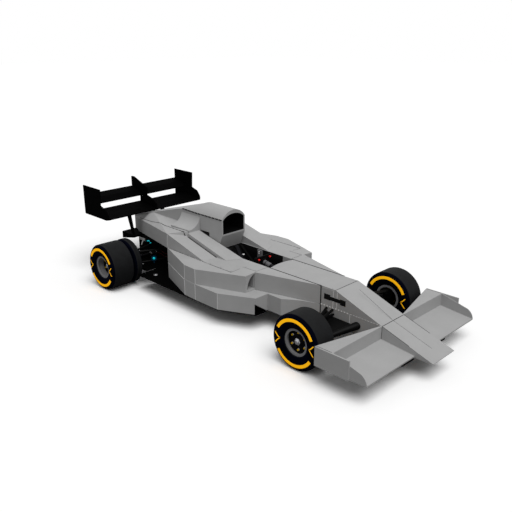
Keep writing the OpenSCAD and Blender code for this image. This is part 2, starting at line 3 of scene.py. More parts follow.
import bmesh
import bpy
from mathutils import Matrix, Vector
from mathutils.bvhtree import BVHTree


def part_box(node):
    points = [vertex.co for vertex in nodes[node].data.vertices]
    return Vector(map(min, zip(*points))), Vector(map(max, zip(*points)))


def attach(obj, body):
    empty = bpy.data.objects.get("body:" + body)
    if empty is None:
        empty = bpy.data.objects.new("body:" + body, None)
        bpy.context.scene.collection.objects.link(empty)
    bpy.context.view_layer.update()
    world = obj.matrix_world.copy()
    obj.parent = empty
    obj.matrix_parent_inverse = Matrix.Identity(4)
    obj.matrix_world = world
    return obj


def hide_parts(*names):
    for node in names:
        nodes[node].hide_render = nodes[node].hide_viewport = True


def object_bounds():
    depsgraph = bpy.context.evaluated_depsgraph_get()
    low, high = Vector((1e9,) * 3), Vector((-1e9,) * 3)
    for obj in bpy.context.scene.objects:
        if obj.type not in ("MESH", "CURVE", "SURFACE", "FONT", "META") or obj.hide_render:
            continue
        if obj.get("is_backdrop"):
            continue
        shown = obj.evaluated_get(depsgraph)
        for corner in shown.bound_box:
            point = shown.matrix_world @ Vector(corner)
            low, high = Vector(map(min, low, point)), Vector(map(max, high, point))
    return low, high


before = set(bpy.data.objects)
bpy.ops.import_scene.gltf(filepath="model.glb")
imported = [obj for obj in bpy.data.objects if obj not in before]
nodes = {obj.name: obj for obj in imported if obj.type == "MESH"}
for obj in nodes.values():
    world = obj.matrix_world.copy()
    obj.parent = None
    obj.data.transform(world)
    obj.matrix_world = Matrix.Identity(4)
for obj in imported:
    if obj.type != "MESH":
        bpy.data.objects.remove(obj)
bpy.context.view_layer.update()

# ---------------------------------------------------------------------------
# Bodywork: moulded composite panels, sprayed in one flat mid grey. The paint is
# matt, with a faint orange peel, and a little dust lies where hands don't rub.
# ---------------------------------------------------------------------------


def rgba(code, alpha=1.0):
    """An sRGB hex colour as linear numbers."""
    parts = [int(code[i:i + 2], 16) / 255 for i in (1, 3, 5)]
    return [c / 12.92 if c <= 0.04045 else ((c + 0.055) / 1.055) ** 2.4 for c in parts] + [alpha]


def add_node(tree, kind, links=None, **settings):
    """One shader or geometry node, with its settings, values and incoming links."""
    made = tree.nodes.new(kind)
    for name, value in settings.items():
        setattr(made, name, value)
    for socket, value in (links or {}).items():
        if isinstance(value, bpy.types.NodeSocket):
            tree.links.new(value, made.inputs[socket])
        else:
            made.inputs[socket].default_value = value
    return made


def finish_of(name, roughness, metallic=0.0, specular=0.5, code=None):
    """A new material with its shader, ready for its detail."""
    made = bpy.data.materials.new(name)
    made.use_nodes = True
    tree = made.node_tree
    tree.nodes.clear()
    shader = add_node(tree, "ShaderNodeBsdfPrincipled",
                      {"Metallic": metallic, "Roughness": roughness})
    if not metallic:
        shader.inputs["Specular IOR Level"].default_value = specular
    if code:
        shader.inputs["Base Color"].default_value = rgba(code)
    output = add_node(tree, "ShaderNodeOutputMaterial")
    tree.links.new(shader.outputs["BSDF"], output.inputs["Surface"])
    place = add_node(tree, "ShaderNodeTexCoord").outputs["Object"]
    return made, tree, shader, place


def mottle(tree, shader, place, dark, light, scale, peel_scale, peel_depth):
    """Two close colours in soft clouds, and a fine bump over them."""
    clouds = add_node(tree, "ShaderNodeTexNoise",
                      {"Vector": place, "Scale": scale, "Detail": 4.0, "Roughness": 0.6})
    ramp = add_node(tree, "ShaderNodeValToRGB", {"Fac": clouds.outputs["Fac"]})
    ramp.color_ramp.elements[0].position = 0.3
    ramp.color_ramp.elements[1].position = 0.7
    ramp.color_ramp.elements[0].color = rgba(dark)
    ramp.color_ramp.elements[1].color = rgba(light)
    tree.links.new(ramp.outputs["Color"], shader.inputs["Base Color"])
    peel = add_node(tree, "ShaderNodeTexNoise",
                    {"Vector": place, "Scale": peel_scale, "Detail": 2.0})
    bump = add_node(tree, "ShaderNodeBump",
                    {"Height": peel.outputs["Fac"], "Strength": 0.35, "Distance": peel_depth})
    tree.links.new(bump.outputs["Normal"], shader.inputs["Normal"])


def woven(tree, shader, pattern, dark, light, strength, depth):
    """Two close colours and a fine bump, both from one repeating pattern."""
    ramp = add_node(tree, "ShaderNodeValToRGB", {"Fac": pattern.outputs["Fac"]})
    ramp.color_ramp.elements[0].color = rgba(dark)
    ramp.color_ramp.elements[1].color = rgba(light)
    tree.links.new(ramp.outputs["Color"], shader.inputs["Base Color"])
    bump = add_node(tree, "ShaderNodeBump",
                    {"Height": pattern.outputs["Fac"], "Strength": strength, "Distance": depth})
    tree.links.new(bump.outputs["Normal"], shader.inputs["Normal"])


def sprayed(name, roughness, dark, light, scale, peel_scale, peel_depth, **kind):
    """A material of two mottled colours."""
    made, tree, shader, place = finish_of(name, roughness, **kind)
    mottle(tree, shader, place, dark, light, scale, peel_scale, peel_depth)
    return made


def dress(material, *names):
    """Gives CAD nodes a material, in every slot they have."""
    for name in names:
        for slot in nodes[name].material_slots:
            slot.material = material


# orange peel of sprayed paint is 2 to 4 mm across, dust clouds about 150 mm
grey_paint = sprayed("sprayed_matt_grey", 0.55, "#A3A3A3", "#A8A8A8", 6.0, 320.0, 0.0004,
                     specular=0.25)
dress(grey_paint, "tub", "scuttle_panel", "nose_cone", "nose_keel", "nose_tip",
      "lower_side_right", "lower_side_left", "sidepod_right", "sidepod_left",
      "cockpit_side_right", "cockpit_side_left", "headrest", "airbox", "engine_cover",
      "front_wing_right", "front_wing_left", "front_wing_plates")

# bare black laminate: a 2 mm twill, drawn at 6 mm so that it shows, under a matt lacquer
laminate, tree, shader, place = finish_of("black_laminate", 0.7, specular=0.01)
twill = add_node(tree, "ShaderNodeTexWave",
                 {"Vector": place, "Scale": 52.0, "Distortion": 0.0}, bands_direction="DIAGONAL")
woven(tree, shader, twill, "#010101", "#030303", 0.2, 0.0003)
dress(laminate, "floor", "front_splitter", "beam_wing", "rear_wing_planes",
      "rear_wing_endplates", "rear_wing_fin", "rear_wing_pylons")

# ---------------------------------------------------------------------------
# Panel joints: the dark gaps between the bodywork panels, where they aren't already
# open in the solids. Each is a thin bead of black sealer pressed into the joint. The bead
# at the foot of the step beside the raised cockpit side is also painted shadow of that step.
# ---------------------------------------------------------------------------


def middle(name):
    low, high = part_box(name)
    return (low + high) / 2


def make_piece(name, skin, material, body, smooth=False):
    """A mesh object in place, with its faces outwards, riding on a CAD body."""
    verts, faces = skin
    mesh = bpy.data.meshes.new(name)
    mesh.from_pydata([tuple(v) for v in verts], [], faces)
    shape = bmesh.new()
    shape.from_mesh(mesh)
    bmesh.ops.recalc_face_normals(shape, faces=shape.faces)
    shape.to_mesh(mesh)
    shape.free()
    mesh.materials.append(material)
    if smooth:
        mesh.shade_smooth()
    made = bpy.data.objects.new(name, mesh)
    bpy.context.scene.collection.objects.link(made)
    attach(made, body)
    return made


def ribbon(points, up, width, height):
    """Vertices and faces of a flat bead along a line, standing height above it."""
    verts, faces = [], []
    points = [Vector(p) for p in points]
    up = Vector(up).normalized()
    for i, p in enumerate(points):
        ahead = points[min(i + 1, len(points) - 1)] - points[max(i - 1, 0)]
        side = ahead.cross(up).normalized() * width / 2
        verts += [p - side - up * height, p + side - up * height, p + side + up * height,
                  p - side + up * height]
    for i in range(len(points) - 1):
        a, b = 4 * i, 4 * i + 4
        for k in range(4):
            n = (k + 1) % 4
            faces.append((a + k, a + n, b + n, b + k))
    last = 4 * (len(points) - 1)
    faces += [(3, 2, 1, 0), (last, last + 1, last + 2, last + 3)]
    return verts, faces


def joined(parts):
    """Several vertex and face lists as one."""
    verts, faces = [], []
    for v, f in parts:
        start = len(verts)
        verts += list(v)
        faces += [tuple(start + i for i in face) for face in f]
    return verts, faces


def mirrored(parts):
    """The parts and their twins on the other side of the car."""
    twins = [([Vector((v[0], -v[1], v[2])) for v in verts], faces) for verts, faces in parts]
    return list(parts) + twins


front_axle = middle("front_tyre_left").x
rear_axle = middle("rear_tyres_left").x
axle_z = middle("front_tyre_left").z
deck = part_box("tub")[1].z
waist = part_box("lower_side_left")[1].z
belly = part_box("lower_side_left")[0].z
tub_edge = 0.365
pod_edge = 0.708
pod_fall = 0.022


def behind(mm, y, z):
    """A point so many millimetres behind the front axle, y and z in metres."""
    return Vector((front_axle - mm / 1000, y, z))


def on_deck(mm, y):
    """A point on the flat deck or on the falling top of the sidepod."""
    out = max(0.0, abs(y) - tub_edge)
    return behind(mm, y, deck - out * pod_fall / (pod_edge - tub_edge))


sealer_and_step_shadow = sprayed("black_sealer_and_painted_shadow", 0.8, "#040404", "#0B0B0B", 30.0, 400.0, 0.0003, specular=0.02)
shade_line = sprayed("grey_sealer_and_painted_shade", 0.7, "#3A3A3A", "#464646", 30.0, 400.0, 0.0003, specular=0.1)


def draped(node_name, plan, step=0.02):
    """A line given in plan as (x, y), laid over the top of a CAD node."""
    tree = BVHTree.FromPolygons([v.co for v in nodes[node_name].data.vertices],
                                [p.vertices for p in nodes[node_name].data.polygons])
    out = []
    for (xa, ya), (xb, yb) in zip(plan, plan[1:]):
        pieces = max(1, round(math.hypot(xb - xa, yb - ya) / step))
        for i in range(pieces + 1):
            t = i / pieces
            hit = tree.ray_cast(Vector((xa + (xb - xa) * t, ya + (yb - ya) * t, 2.0)),
                                Vector((0, 0, -1)))[0]
            if hit is not None:
                out.append(hit)
    return out


def dashes(points, up, width, height, long, gap):
    """A line cut into short beads."""
    parts, walked, run = [], 0.0, [Vector(points[0])]
    on = True
    for a, b in zip(points, points[1:]):
        a, b = Vector(a), Vector(b)
        left = (b - a).length
        while left > 1e-6:
            need = (long if on else gap) - walked
            move = min(need, left)
            a = a + (b - a).normalized() * move
            left -= move
            walked += move
            if on:
                run.append(a)
            if walked >= (long if on else gap) - 1e-9:
                if on and len(run) > 1:
                    parts.append(ribbon(run, up, width, height))
                on = not on
                walked = 0.0
                run = [a]
    if on and len(run) > 1 and (run[-1] - run[0]).length > width:
        parts.append(ribbon(run, up, width, height))
    return parts


up_z, out_y = (0, 0, 1), (0, 1, 0)
seam_w, seam_h = 0.011, 0.0007
seam_y = 0.1768
# places along the car, in millimetres behind the front axle
keel_split, tub_front, scuttle_end, flare, pod_step, pod_turn = -103, 242, 932, 1115, 1466, 1645
pod_seam_y = 0.525


def upright(mm, y, z_low, z_high, width, height):
    """A bead up a side wall of the car."""
    return ribbon([behind(mm, y, z_low), behind(mm, y, z_high)], out_y, width, height)


beads = [ribbon([on_deck(mm, seam_y) for mm in (tub_front - 6, scuttle_end)], up_z, seam_w,
                seam_h),
         ribbon([on_deck(mm, pod_seam_y) for mm in (flare, pod_step + 2)], up_z, 0.006, seam_h),
         upright(tub_front, 0.1785, belly + 0.003, deck - 0.002, 0.009, 0.0012)]
beads += dashes([on_deck(1480, 0.5235), on_deck(2150, 0.5085)], up_z, 0.0045, 0.0009, 0.09, 0.012)
# joint between the intake's sides and its roof
ridge_x, tail_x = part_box("cockpit_side_left")[0].x - 0.072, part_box("airbox")[0].x
intake_x, side_z, roof_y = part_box("airbox")[1].x, 0.893, 0.1712
beads += dashes([Vector((intake_x - 0.004, roof_y, side_z + 0.0005)),
                 Vector((ridge_x, roof_y, side_z + 0.0005)),
                 Vector((tail_x + 0.01, 0.1665, side_z + 0.0055))], (0, 0.8, 0.6), 0.012, 0.0012,
                0.05, 0.008)
# foot of the step beside the raised cockpit side, where the black bead paints the step's shadow,
# and the joint it runs into
step_y = 0.3575
for plan, width in (([(-0.19, step_y), (-0.70, step_y)], 0.009),
                    ([(-0.742, 0.3620), (-0.800, 0.3650)], 0.018)):
    beads.append(ribbon(draped("engine_cover", plan), up_z, width, 0.0012))
seam_line = draped("engine_cover", [(-0.800, 0.366), (-1.14, 0.347), (-1.50, 0.264),
                                    (-1.80, 0.178), (-1.93, 0.139)], 0.05)
beads += dashes(seam_line, up_z, 0.008, 0.0014, 0.06, 0.010)
make_piece("panel_joints_and_step_shadow", joined(mirrored(beads)), sealer_and_step_shadow, "chassis")

# close joints that show as thin lines: round the scuttle, along the waist and on the nose; the
# lines along the nose tip's top edges are painted shade at those edges
thin_w, thin_h = 0.004, 0.0006
tip_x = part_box("nose_tip")[0].x
hatch = [on_deck(938, 0.18), on_deck(940, 0.347), on_deck(flare, 0.352),
         on_deck(flare, pod_seam_y)]
thin = [ribbon([a, b], up_z, thin_w, thin_h) for a, b in zip(hatch, hatch[1:])]
thin += [ribbon([behind(tub_front, 0.1785, waist), behind(930, tub_edge + 0.0068, waist)],
                (-0.27, 0.96, 0), thin_w, 0.0008),
         # painted shade along each top edge of the nose tip
         ribbon(draped("nose_tip", [(x, 0.1725) for x in (tip_x + 0.004, 2.03)]), up_z, 0.005,
                0.0008),
         ribbon([(tip_x + 0.003, 0.1757, z) for z in (0.216, 0.354)], out_y, 0.006, 0.0010)]
thin = mirrored(thin) + [
    ribbon([behind(-74, 0.0, deck - 0.0006), behind(-448, 0.0, waist + 0.0012)], (0.44, 0, 0.9),
           0.0025, thin_h),
    ribbon(draped("nose_tip", [(tip_x + 0.004, 0.0), (2.15, 0.0)]), up_z, 0.003, thin_h),
    ribbon(draped("nose_tip", [(tip_x + 0.003, y) for y in (-0.172, 0.172)]), up_z, 0.006, 0.0008),
    ribbon([behind(72, y, deck + 0.0001) for y in (-0.171, 0.171)], up_z, 0.006, thin_h)]
make_piece("faint_joints_and_edge_shade", joined(thin), shade_line, "chassis")

# pale strips along the edges where two panels meet, and pale dashes and lines on the nose's sides:
# painted highlights on those edges
edge_highlight_paint = sprayed("painted_edge_highlight", 0.5, "#DCDCDC", "#E8E8E8", 20.0, 300.0, 0.0002,
                       specular=0.3)
pod_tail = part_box("sidepod_left")[0].x
edge_w, edge_h = 0.006, 0.0012
edges = []
for mm, y in ((pod_step, 0.7125), (pod_turn, 0.7062)):
    edges += [upright(mm, y, belly + 0.004, waist - 0.004, edge_w, 0.0008),
              upright(mm, y - 0.0045, waist + 0.004, deck - 0.026, edge_w, 0.0008)]
edges += [upright(1121, 0.7118, belly + 0.004, waist - 0.006, edge_w, 0.0010),
          ribbon([(-0.8775, 0.5078, 0.684), (-0.8925, 0.5048, 0.546)], out_y, edge_w, edge_h),
          ribbon([behind(1655, 0.7035, waist), Vector((pod_tail + 0.006, 0.512, waist))],
                 Vector((-0.34, 0.94, 0)).normalized(), 0.005, edge_h)]
nose_y = 0.1752
edges += dashes([behind(238, nose_y + 0.0014, waist), behind(-100, nose_y, waist)], out_y,
                0.009, 0.0022, 0.016, 0.018)
edges += dashes([behind(-104, nose_y, waist), behind(-440, nose_y, waist)], out_y, 0.0035,
                0.0014, 0.022, 0.010)
for mm in (95, 50):
    edges += [upright(mm, nose_y, waist + 0.010, 0.428, edge_w, edge_h),
              upright(mm, nose_y, 0.470, 0.530, edge_w, edge_h)]
edges.append(upright(keel_split, nose_y, belly + 0.004, waist - 0.004, edge_w, edge_h))
make_piece("painted_edge_highlights", joined(mirrored(edges)), edge_highlight_paint, "chassis")

# rubber bungs close the access slots in the nose's sides and lap over their rims
bung = sprayed("moulded_rubber_bung", 0.8, "#050505", "#090909", 40.0, 400.0, 0.0004, specular=0.1)


def slab(low, high, chamfer):
    """A bar between two corners with every edge of its outer Y face cut back."""
    (x0, y0, z0), (x1, y1, z1) = low, high
    c, d = chamfer, chamfer * (1 if y1 > y0 else -1)
    verts = [Vector(v) for v in (
        (x0, y0, z0), (x1, y0, z0), (x1, y0, z1), (x0, y0, z1),
        (x0, y1 - d, z0), (x1, y1 - d, z0), (x1, y1 - d, z1), (x0, y1 - d, z1),
        (x0 + c, y1, z0 + c), (x1 - c, y1, z0 + c), (x1 - c, y1, z1 - c), (x0 + c, y1, z1 - c))]
    faces = [(0, 1, 2, 3)]
    for ring in (0, 4):
        for i in range(4):
            n = (i + 1) % 4
            faces.append((ring + i, ring + n, ring + 4 + n, ring + 4 + i))
    return verts, faces + [(8, 9, 10, 11)]


slots = []
for mm, long, z_low, z_high in ((14, 0.064, 0.418, 0.474), (136, 0.126, 0.431, 0.467),
                                (204, 0.074, 0.426, 0.482)):
    x = front_axle - mm / 1000
    slots.append(slab((x, 0.142, z_low), (x + long, 0.1772, z_high), 0.002))
make_piece("slot_bungs", joined(mirrored(slots)), bung, "chassis")

# ---------------------------------------------------------------------------
# Quarter-turn fasteners: the steel heads that hold the removable panels, set in rows
# beside the joints. Each is a short round head, 11 mm across, in a wider pressed cup.
# ---------------------------------------------------------------------------


def socket_id(tree, name):
    """The identifier of a tree's named input."""
    return next(item.identifier for item in tree.interface.items_tree
                if item.item_type == "SOCKET" and item.in_out == "INPUT" and item.name == name)


fastener_steel = sprayed("zinc_plated_steel", 0.35, "#8E8E90", "#A2A2A4", 60.0, 500.0, 0.0002,
                         metallic=1.0)

rows = bpy.data.node_groups.new("fastener_rows", "GeometryNodeTree")
rows.interface.new_socket("Geometry", in_out="INPUT", socket_type="NodeSocketGeometry")
for name, value in (("Spacing", 0.14), ("Head Radius", 0.006), ("Head Height", 0.0012)):
    made = rows.interface.new_socket(name, in_out="INPUT", socket_type="NodeSocketFloat")
    made.default_value = value
rows.interface.new_socket("Geometry", in_out="OUTPUT", socket_type="NodeSocketGeometry")
given = add_node(rows, "NodeGroupInput")
line = add_node(rows, "GeometryNodeMeshToCurve", {"Mesh": given.outputs["Geometry"]})
spots = add_node(rows, "GeometryNodeResampleCurve",
                 {"Curve": line.outputs["Curve"], "Length": given.outputs["Spacing"]},
                 mode="LENGTH")
head = add_node(rows, "GeometryNodeMeshCylinder",
                {"Vertices": 16, "Radius": given.outputs["Head Radius"],
                 "Depth": given.outputs["Head Height"]})
cup = add_node(rows, "GeometryNodeMeshCylinder",
               {"Vertices": 16, "Radius": given.outputs["Head Radius"], "Depth": 0.0004})
wider = add_node(rows, "GeometryNodeTransform",
                 {"Geometry": cup.outputs["Mesh"], "Scale": (1.6, 1.6, 1.0)})
both = add_node(rows, "GeometryNodeJoinGeometry")
for part in (head.outputs["Mesh"], wider.outputs["Geometry"]):
    rows.links.new(part, both.inputs["Geometry"])
placed = add_node(rows, "GeometryNodeInstanceOnPoints",
                  {"Points": spots.outputs["Curve"], "Instance": both.outputs["Geometry"]})
real = add_node(rows, "GeometryNodeRealizeInstances", {"Geometry": placed.outputs["Instances"]})
coloured = add_node(rows, "GeometryNodeSetMaterial",
                    {"Geometry": real.outputs["Geometry"], "Material": fastener_steel})
add_node(rows, "NodeGroupOutput", {"Geometry": coloured.outputs["Geometry"]})


def grown(name, base_verts, base_edges, group, values, body):
    """Runs a geometry tree over a plain mesh and keeps the result as a mesh."""
    mesh = bpy.data.meshes.new(name + "_base")
    mesh.from_pydata([tuple(v) for v in base_verts], base_edges, [])
    base = bpy.data.objects.new(name + "_base", mesh)
    bpy.context.scene.collection.objects.link(base)
    modifier = base.modifiers.new("grow", "NODES")
    modifier.node_group = group
    for key, value in values.items():
        modifier[socket_id(group, key)] = value
    graph = bpy.context.evaluated_depsgraph_get()
    plain = bpy.data.meshes.new_from_object(base.evaluated_get(graph), depsgraph=graph)
    bpy.data.objects.remove(base)
    plain.name = name
    made = bpy.data.objects.new(name, plain)
    bpy.context.scene.collection.objects.link(made)
    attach(made, body)
    return made


lines = []
for y_sign in (1, -1):
    lines += [(on_deck(960, y_sign * 0.335), on_deck(1100, y_sign * 0.335)),
              (on_deck(1135, y_sign * 0.505), on_deck(1455, y_sign * 0.505)),
              (behind(120, y_sign * 0.155, deck), behind(880, y_sign * 0.155, deck))]
base_verts = [p for pair in lines for p in pair]
base_edges = [(2 * i, 2 * i + 1) for i in range(len(lines))]
grown("panel_fasteners", base_verts, base_edges, rows, {"Spacing": 0.15, "Head Radius": 0.0055},
      "chassis")

# ---------------------------------------------------------------------------
# Tyres: smooth racing slicks in carbon-black rubber, with darker, faintly blue rubber on the
# sidewalls. The painted arcs are yellow ink, with plain chevrons between; the ink is given a
# small glow, which is painted light.
# ---------------------------------------------------------------------------

rim_r = 0.131
tyre_r = axle_z

rubber = sprayed("slick_tread_rubber", 0.75, "#131314", "#191A1B", 14.0, 900.0, 0.0003,
                 specular=0.1)
sidewall_rubber = sprayed("sidewall_rubber", 0.7, "#020309", "#050714", 9.0, 700.0, 0.0002,
                          specular=0.01)
yellow_ink_and_painted_glow, tree, shader, place = finish_of("yellow_tyre_ink_painted_glow", 0.7, specular=0.1)
mottle(tree, shader, place, "#F8B410", "#FDBB14", 24.0, 600.0, 0.0002)
# the ink is given a small glow of its own, painted light that keeps it bright on the shaded
# sidewall
shader.inputs["Emission Color"].default_value = rgba("#FDB50F")
shader.inputs["Emission Strength"].default_value = 0.45


def lathe(centre, outline, steps=112):
    """A closed outline of (radius, y) turned round a wheel's axle."""
    verts, faces = [], []
    count = len(outline)
    for s in range(steps):
        a = 2 * math.pi * s / steps
        verts += [Vector((centre[0] + r * math.cos(a), centre[1] + y, centre[2] + r * math.sin(a)))
                  for r, y in outline]
    for s in range(steps):
        here, there = s * count, (s + 1) % steps * count
        for k in range(count):
            n = (k + 1) % count
            faces.append((here + k, here + n, there + n, there + k))
    return verts, faces


def wall_y(r, half):
    """How far out the sidewall's skin stands at a radius, from the tyre's middle."""
    bulge = 0.205
    if r >= bulge:
        t = (r - bulge) / (tyre_r - bulge)
        return half - 0.0012 - 0.030 * t ** 3.2
    t = (bulge - r) / (bulge - rim_r)
    return half - 0.0012 - 0.020 * t ** 2.2


def tyre(name, centre, half, body, node_name, ribs=0):
    """A tyre's tread, two sidewalls and bead as one closed skin, in two materials."""
    wall = [(rim_r + 0.0006 + (tyre_r - 0.008 - rim_r) * i / 22) for i in range(23)]
    outer = [(r, wall_y(r, half)) for r in wall]
    # small moulded ring that guards the rim
    outer = [(r, y + (0.0010 if 3 <= i <= 4 else 0.0)) for i, (r, y) in enumerate(outer)]
    edge = outer[-1][1]
    tread = [(tyre_r - 0.0035, edge - 0.004), (tyre_r - 0.0008, edge - 0.010)]
    width = 2 * (edge - 0.018)
    if ribs:
        for i in range(ribs * 2 + 1):
            y = width / 2 - width * i / (ribs * 2)
            tread.append((tyre_r - (0.0045 if i % 2 else 0.0002), y))
    else:
        tread += [(tyre_r - 0.0001 - 0.0012 * (2 * i / 12 - 1) ** 2, width / 2 - width * i / 12)
                  for i in range(13)]
    tread += [(tyre_r - 0.0008, -edge + 0.010), (tyre_r - 0.0035, -edge + 0.004)]
    inner = [(r, -y) for r, y in reversed(outer)]
    outline = outer + tread + inner
    made = make_piece(name, lathe(centre, outline), rubber, body, smooth=True)
    made.data.materials.append(sidewall_rubber)
    wall_edge = edge + 0.0005
    for face in made.data.polygons:
        r = math.hypot(face.center.x - centre[0], face.center.z - centre[2])
        if abs(face.center.y - centre[1]) > wall_edge - 0.004 and r < tyre_r - 0.002:
            face.material_index = 1
    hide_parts(node_name)
    return made


def sidewall_mark(centre, half, side, r_of, a_from, a_to, steps):
    """A thin inked patch on the sidewall between two angles; r_of gives its two radii."""
    verts, faces = [], []
    rings = 4
    lift = 0.0009
    for i in range(steps + 1):
        a = a_from + (a_to - a_from) * i / steps
        low, high = r_of(i / steps)
        for k in range(rings + 1):
            r = low + (high - low) * k / rings
            y = (wall_y(r, half) + lift) * side
            verts.append(Vector((centre[0] + r * math.cos(a), centre[1] + y,
                                 centre[2] + r * math.sin(a))))
    row = rings + 1
    back = len(verts)
    for v in list(verts):
        verts.append(v - Vector((0, 0.0016 * side, 0)))
    for i in range(steps):
        for k in range(rings):
            a, b = i * row + k, (i + 1) * row + k
            faces.append((a, a + 1, b + 1, b))
            faces.append((back + a, back + b, back + b + 1, back + a + 1))
    for i in range(steps):
        for k in (0, rings):
            a, b = i * row + k, (i + 1) * row + k
            faces.append((a, b, back + b, back + a))
    for k in range(rings):
        for i in (0, steps):
            a = i * row + k
            faces.append((a, a + 1, back + a + 1, back + a))
    return verts, faces


def inked_marks(name, centre, half, side, body):
    """Two long arcs, and between them two small chevrons."""
    parts = []
    for start, end in ((25, 153), (212, 329)):
        parts.append(sidewall_mark(centre, half, side, lambda t: (0.197, 0.227),
                                   math.radians(start), math.radians(end), 48))
    for mid in (0, 182):
        for turn in (-1, 1):
            parts.append(sidewall_mark(
                centre, half, side, lambda t: (0.165 + 0.050 * t, 0.180 + 0.050 * t),
                math.radians(mid + turn * 1.0), math.radians(mid + turn * 13.0), 8))
    return make_piece(name, joined(parts), yellow_ink_and_painted_glow, body)


wheels = {}
for word, side in (("left", 1), ("right", -1)):
    low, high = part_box("front_tyre_" + word)
    wheels["front_" + word] = ((low + high) / 2, (high.y - low.y) / 2)
    low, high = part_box("rear_tyres_" + word)
    outer_face = max(abs(low.y), abs(high.y))
    wheels["rear_" + word] = (Vector((rear_axle, side * (outer_face - 0.149), axle_z)), 0.149)
    wheels["inner_" + word] = (Vector((rear_axle, side * (outer_face - 0.300 - 0.057), axle_z)),
                               0.057)
    body = "front_wheel_" + word
    centre, half = wheels["front_" + word]
    tyre("front_slick_" + word, centre, half, body, "front_tyre_" + word)
    inked_marks("front_ink_out_" + word, centre, half, side, body)
    inked_marks("front_ink_in_" + word, centre, half, -side, body)
    body = "rear_wheels_" + word
    centre, half = wheels["rear_" + word]
    tyre("rear_slick_" + word, centre, half, body, "rear_tyres_" + word)
    inked_marks("rear_ink_out_" + word, centre, half, side, body)
    centre, half = wheels["inner_" + word]
    tyre("rear_ribbed_" + word, centre, half, body, "rear_tyres_" + word, ribs=14)

# ---------------------------------------------------------------------------
# Rims: cast alloy, sprayed satin silver grey outside the lip and black on the disc, which
# carries a steel centre nut and six yellow-tipped drive lugs.
# ---------------------------------------------------------------------------

rim_paint = sprayed("rim_spray", 0.45, "#7E7E80", "#88888A", 30.0, 500.0, 0.0002, specular=0.3)
disc_black = sprayed("rim_disc_black", 0.6, "#030304", "#07070A", 30.0, 500.0, 0.0002,
                     specular=0.06)
machined, tree, shader, place = finish_of("machined_alloy", 0.3, metallic=1.0)
turning = add_node(tree, "ShaderNodeTexNoise",
                   {"Vector": place, "Scale": 260.0, "Detail": 2.0})
bump = add_node(tree, "ShaderNodeBump",
                {"Height": turning.outputs["Fac"], "Strength": 0.2, "Distance": 0.0002})
tree.links.new(bump.outputs["Normal"], shader.inputs["Normal"])
shader.inputs["Base Color"].default_value = rgba("#B9BABD")
lug_yellow = sprayed("yellow_lug_cap", 0.5, "#E0B010", "#F2C618", 60.0, 500.0, 0.0002,
                     specular=0.3)


def prism(centre, sides, radius, y_from, y_to, spin=0.0, bevel=0.12):
    """A short bar across the car with that many sides and a chamfered outer end."""
    verts, faces = [], []
    length = y_to - y_from
    for r, y in ((radius, y_from), (radius, y_from + length * (1 - bevel)),
                 (radius * (1 - bevel), y_to)):
        for i in range(sides):
            a = spin + 2 * math.pi * i / sides
            verts.append(Vector((centre[0] + r * math.cos(a), y, centre[2] + r * math.sin(a))))
    for ring in (0, 1):
        for i in range(sides):
            n = (i + 1) % sides
            a, b = ring * sides, (ring + 1) * sides
            faces.append((a + i, a + n, b + n, b + i))
    faces.append(tuple(range(sides)))
    faces.append(tuple(2 * sides + i for i in reversed(range(sides))))
    return verts, faces


for word, side in (("left", 1), ("right", -1)):
    for end, rim_node, body in (("front", "front_rim_" + word, "front_wheel_" + word),
                                ("rear", "rear_rims_" + word, "rear_wheels_" + word)):
        low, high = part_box(rim_node)
        centre = (low + high) / 2
        face_y = side * max(abs(low.y), abs(high.y))
        reach_y = side * min(abs(low.y), abs(high.y))
        disc_y = face_y - side * (0.038 if end == "front" else 0.085)
        # lip and barrel, with a rolled edge
        barrel = [(0.108, face_y), (0.1305, face_y), (0.1308, face_y - side * 0.012),
                  (0.1308, reach_y + side * 0.010), (0.1295, reach_y), (0.108, reach_y),
                  (0.1075, reach_y + side * 0.010), (0.1195, reach_y + side * 0.016),
                  (0.1195, face_y - side * 0.030), (0.1075, face_y - side * 0.014)]
        shell = make_piece(end + "_rim_shell_" + word, lathe((centre.x, 0, centre.z), barrel, 96),
                           rim_paint, body)
        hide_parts(rim_node)
        # disc with a dished face
        back = disc_y - side * 0.034
        dish = [(0.0256, disc_y + side * 0.010), (0.044, disc_y + side * 0.010),
                (0.052, disc_y + side * 0.001), (0.096, disc_y - side * 0.004),
                (0.1198, disc_y + side * 0.002), (0.1198, back), (0.0256, back)]
        make_piece(end + "_rim_disc_" + word, lathe((centre.x, 0, centre.z), dish, 96),
                   disc_black, body)
        lugs, nuts = [], []
        for i in range(6):
            a = math.radians(30 + 60 * i)
            spot = (centre.x + 0.082 * math.cos(a), 0, centre.z + 0.082 * math.sin(a))
            lugs.append(prism(spot, 12, 0.0085, disc_y - side * 0.006, disc_y + side * 0.014))
            lugs.append(prism(spot, 12, 0.0085, back + side * 0.004, back - side * 0.012))
            nuts.append(prism(spot, 6, 0.013, disc_y - side * 0.008, disc_y + side * 0.004))
        make_piece(end + "_lug_caps_" + word, joined(lugs), lug_yellow, body)
        nuts.append(prism((centre.x, 0, centre.z), 6, 0.034, disc_y + side * 0.008,
                          disc_y + side * 0.026, bevel=0.2))
        nuts.append(prism((centre.x, 0, centre.z), 24, 0.022, disc_y + side * 0.020,
                          disc_y + side * 0.036, bevel=0.3))
        make_piece(end + "_centre_nut_" + word, joined(nuts), machined, body)

# ---------------------------------------------------------------------------
# Suspension, steering and shafts: welded steel tube arms in black powder coat, and
# uprights, rack and shafts machined from dark steel and left oiled.
# ---------------------------------------------------------------------------

